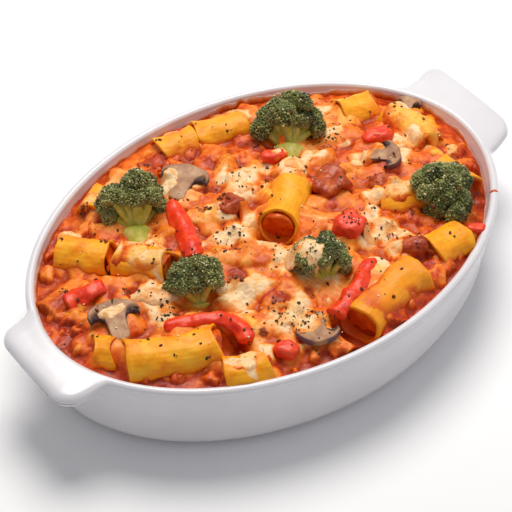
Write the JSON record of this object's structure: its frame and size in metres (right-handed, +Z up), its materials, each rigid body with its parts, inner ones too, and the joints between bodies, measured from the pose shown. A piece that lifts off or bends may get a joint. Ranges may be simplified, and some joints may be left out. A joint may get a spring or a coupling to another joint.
{
  "type": "baked pasta in an oval dish",
  "caption": "Baked rigatoni with broccoli, red pepper, tomato, mushroom and melted cheese, heaped in its white oval stoneware baking dish with a flat lug at each end.",
  "frame": {"origin": "centre of the dish's flat base", "axes": "+X along the dish's long axis through the lugs, +Y across it, +Z up"},
  "size_m": [0.2786, 0.1776, 0.0638],
  "materials": {
    "stoneware": "white glazed stoneware, glossy and smooth",
    "heap": "pasta in red-orange tomato sauce under baked cheese, oily sheen",
    "pasta": "cooked ridged pasta, yellow-orange, slightly glossy",
    "broccoli": "dark green bud clusters on pale green stalks",
    "red_pepper": "soft glossy bright red flesh",
    "mushroom": "grey-tan cooked slices with dark gills",
    "cheese": "melted cream-coloured cheese with golden and brown toasted spots",
    "tomato": "baked dark red tomato pieces"
  },
  "bodies": {
    "root": {"baking_dish": "stoneware", "broccoli_1": "broccoli", "broccoli_2": "broccoli", "broccoli_3": "broccoli", "broccoli_4": "broccoli", "broccoli_5": "broccoli", "cheese_1": "cheese", "cheese_2": "cheese", "cheese_3": "cheese", "cheese_4": "cheese", "cheese_5": "cheese", "mushroom_1": "mushroom", "mushroom_2": "mushroom", "mushroom_3": "mushroom", "mushroom_4": "mushroom", "mushroom_5": "mushroom", "pasta_bed": "heap", "pepper_1": "red_pepper", "pepper_2": "red_pepper", "pepper_3": "red_pepper", "pepper_4": "red_pepper", "pepper_5": "red_pepper", "pepper_6": "red_pepper", "pepper_7": "red_pepper", "pepper_8": "red_pepper", "pepper_9": "red_pepper", "rigatoni_01": "pasta", "rigatoni_02": "pasta", "rigatoni_03": "pasta", "rigatoni_04": "pasta", "rigatoni_05": "pasta", "rigatoni_06": "pasta", "rigatoni_07": "pasta", "rigatoni_08": "pasta", "rigatoni_09": "pasta", "rigatoni_10": "pasta", "rigatoni_11": "pasta", "rigatoni_12": "pasta", "rigatoni_13": "pasta", "rigatoni_14": "pasta", "rigatoni_15": "pasta", "tomato_1": "tomato", "tomato_2": "tomato", "tomato_3": "tomato", "tomato_4": "tomato"}
  },
  "joints": []
}
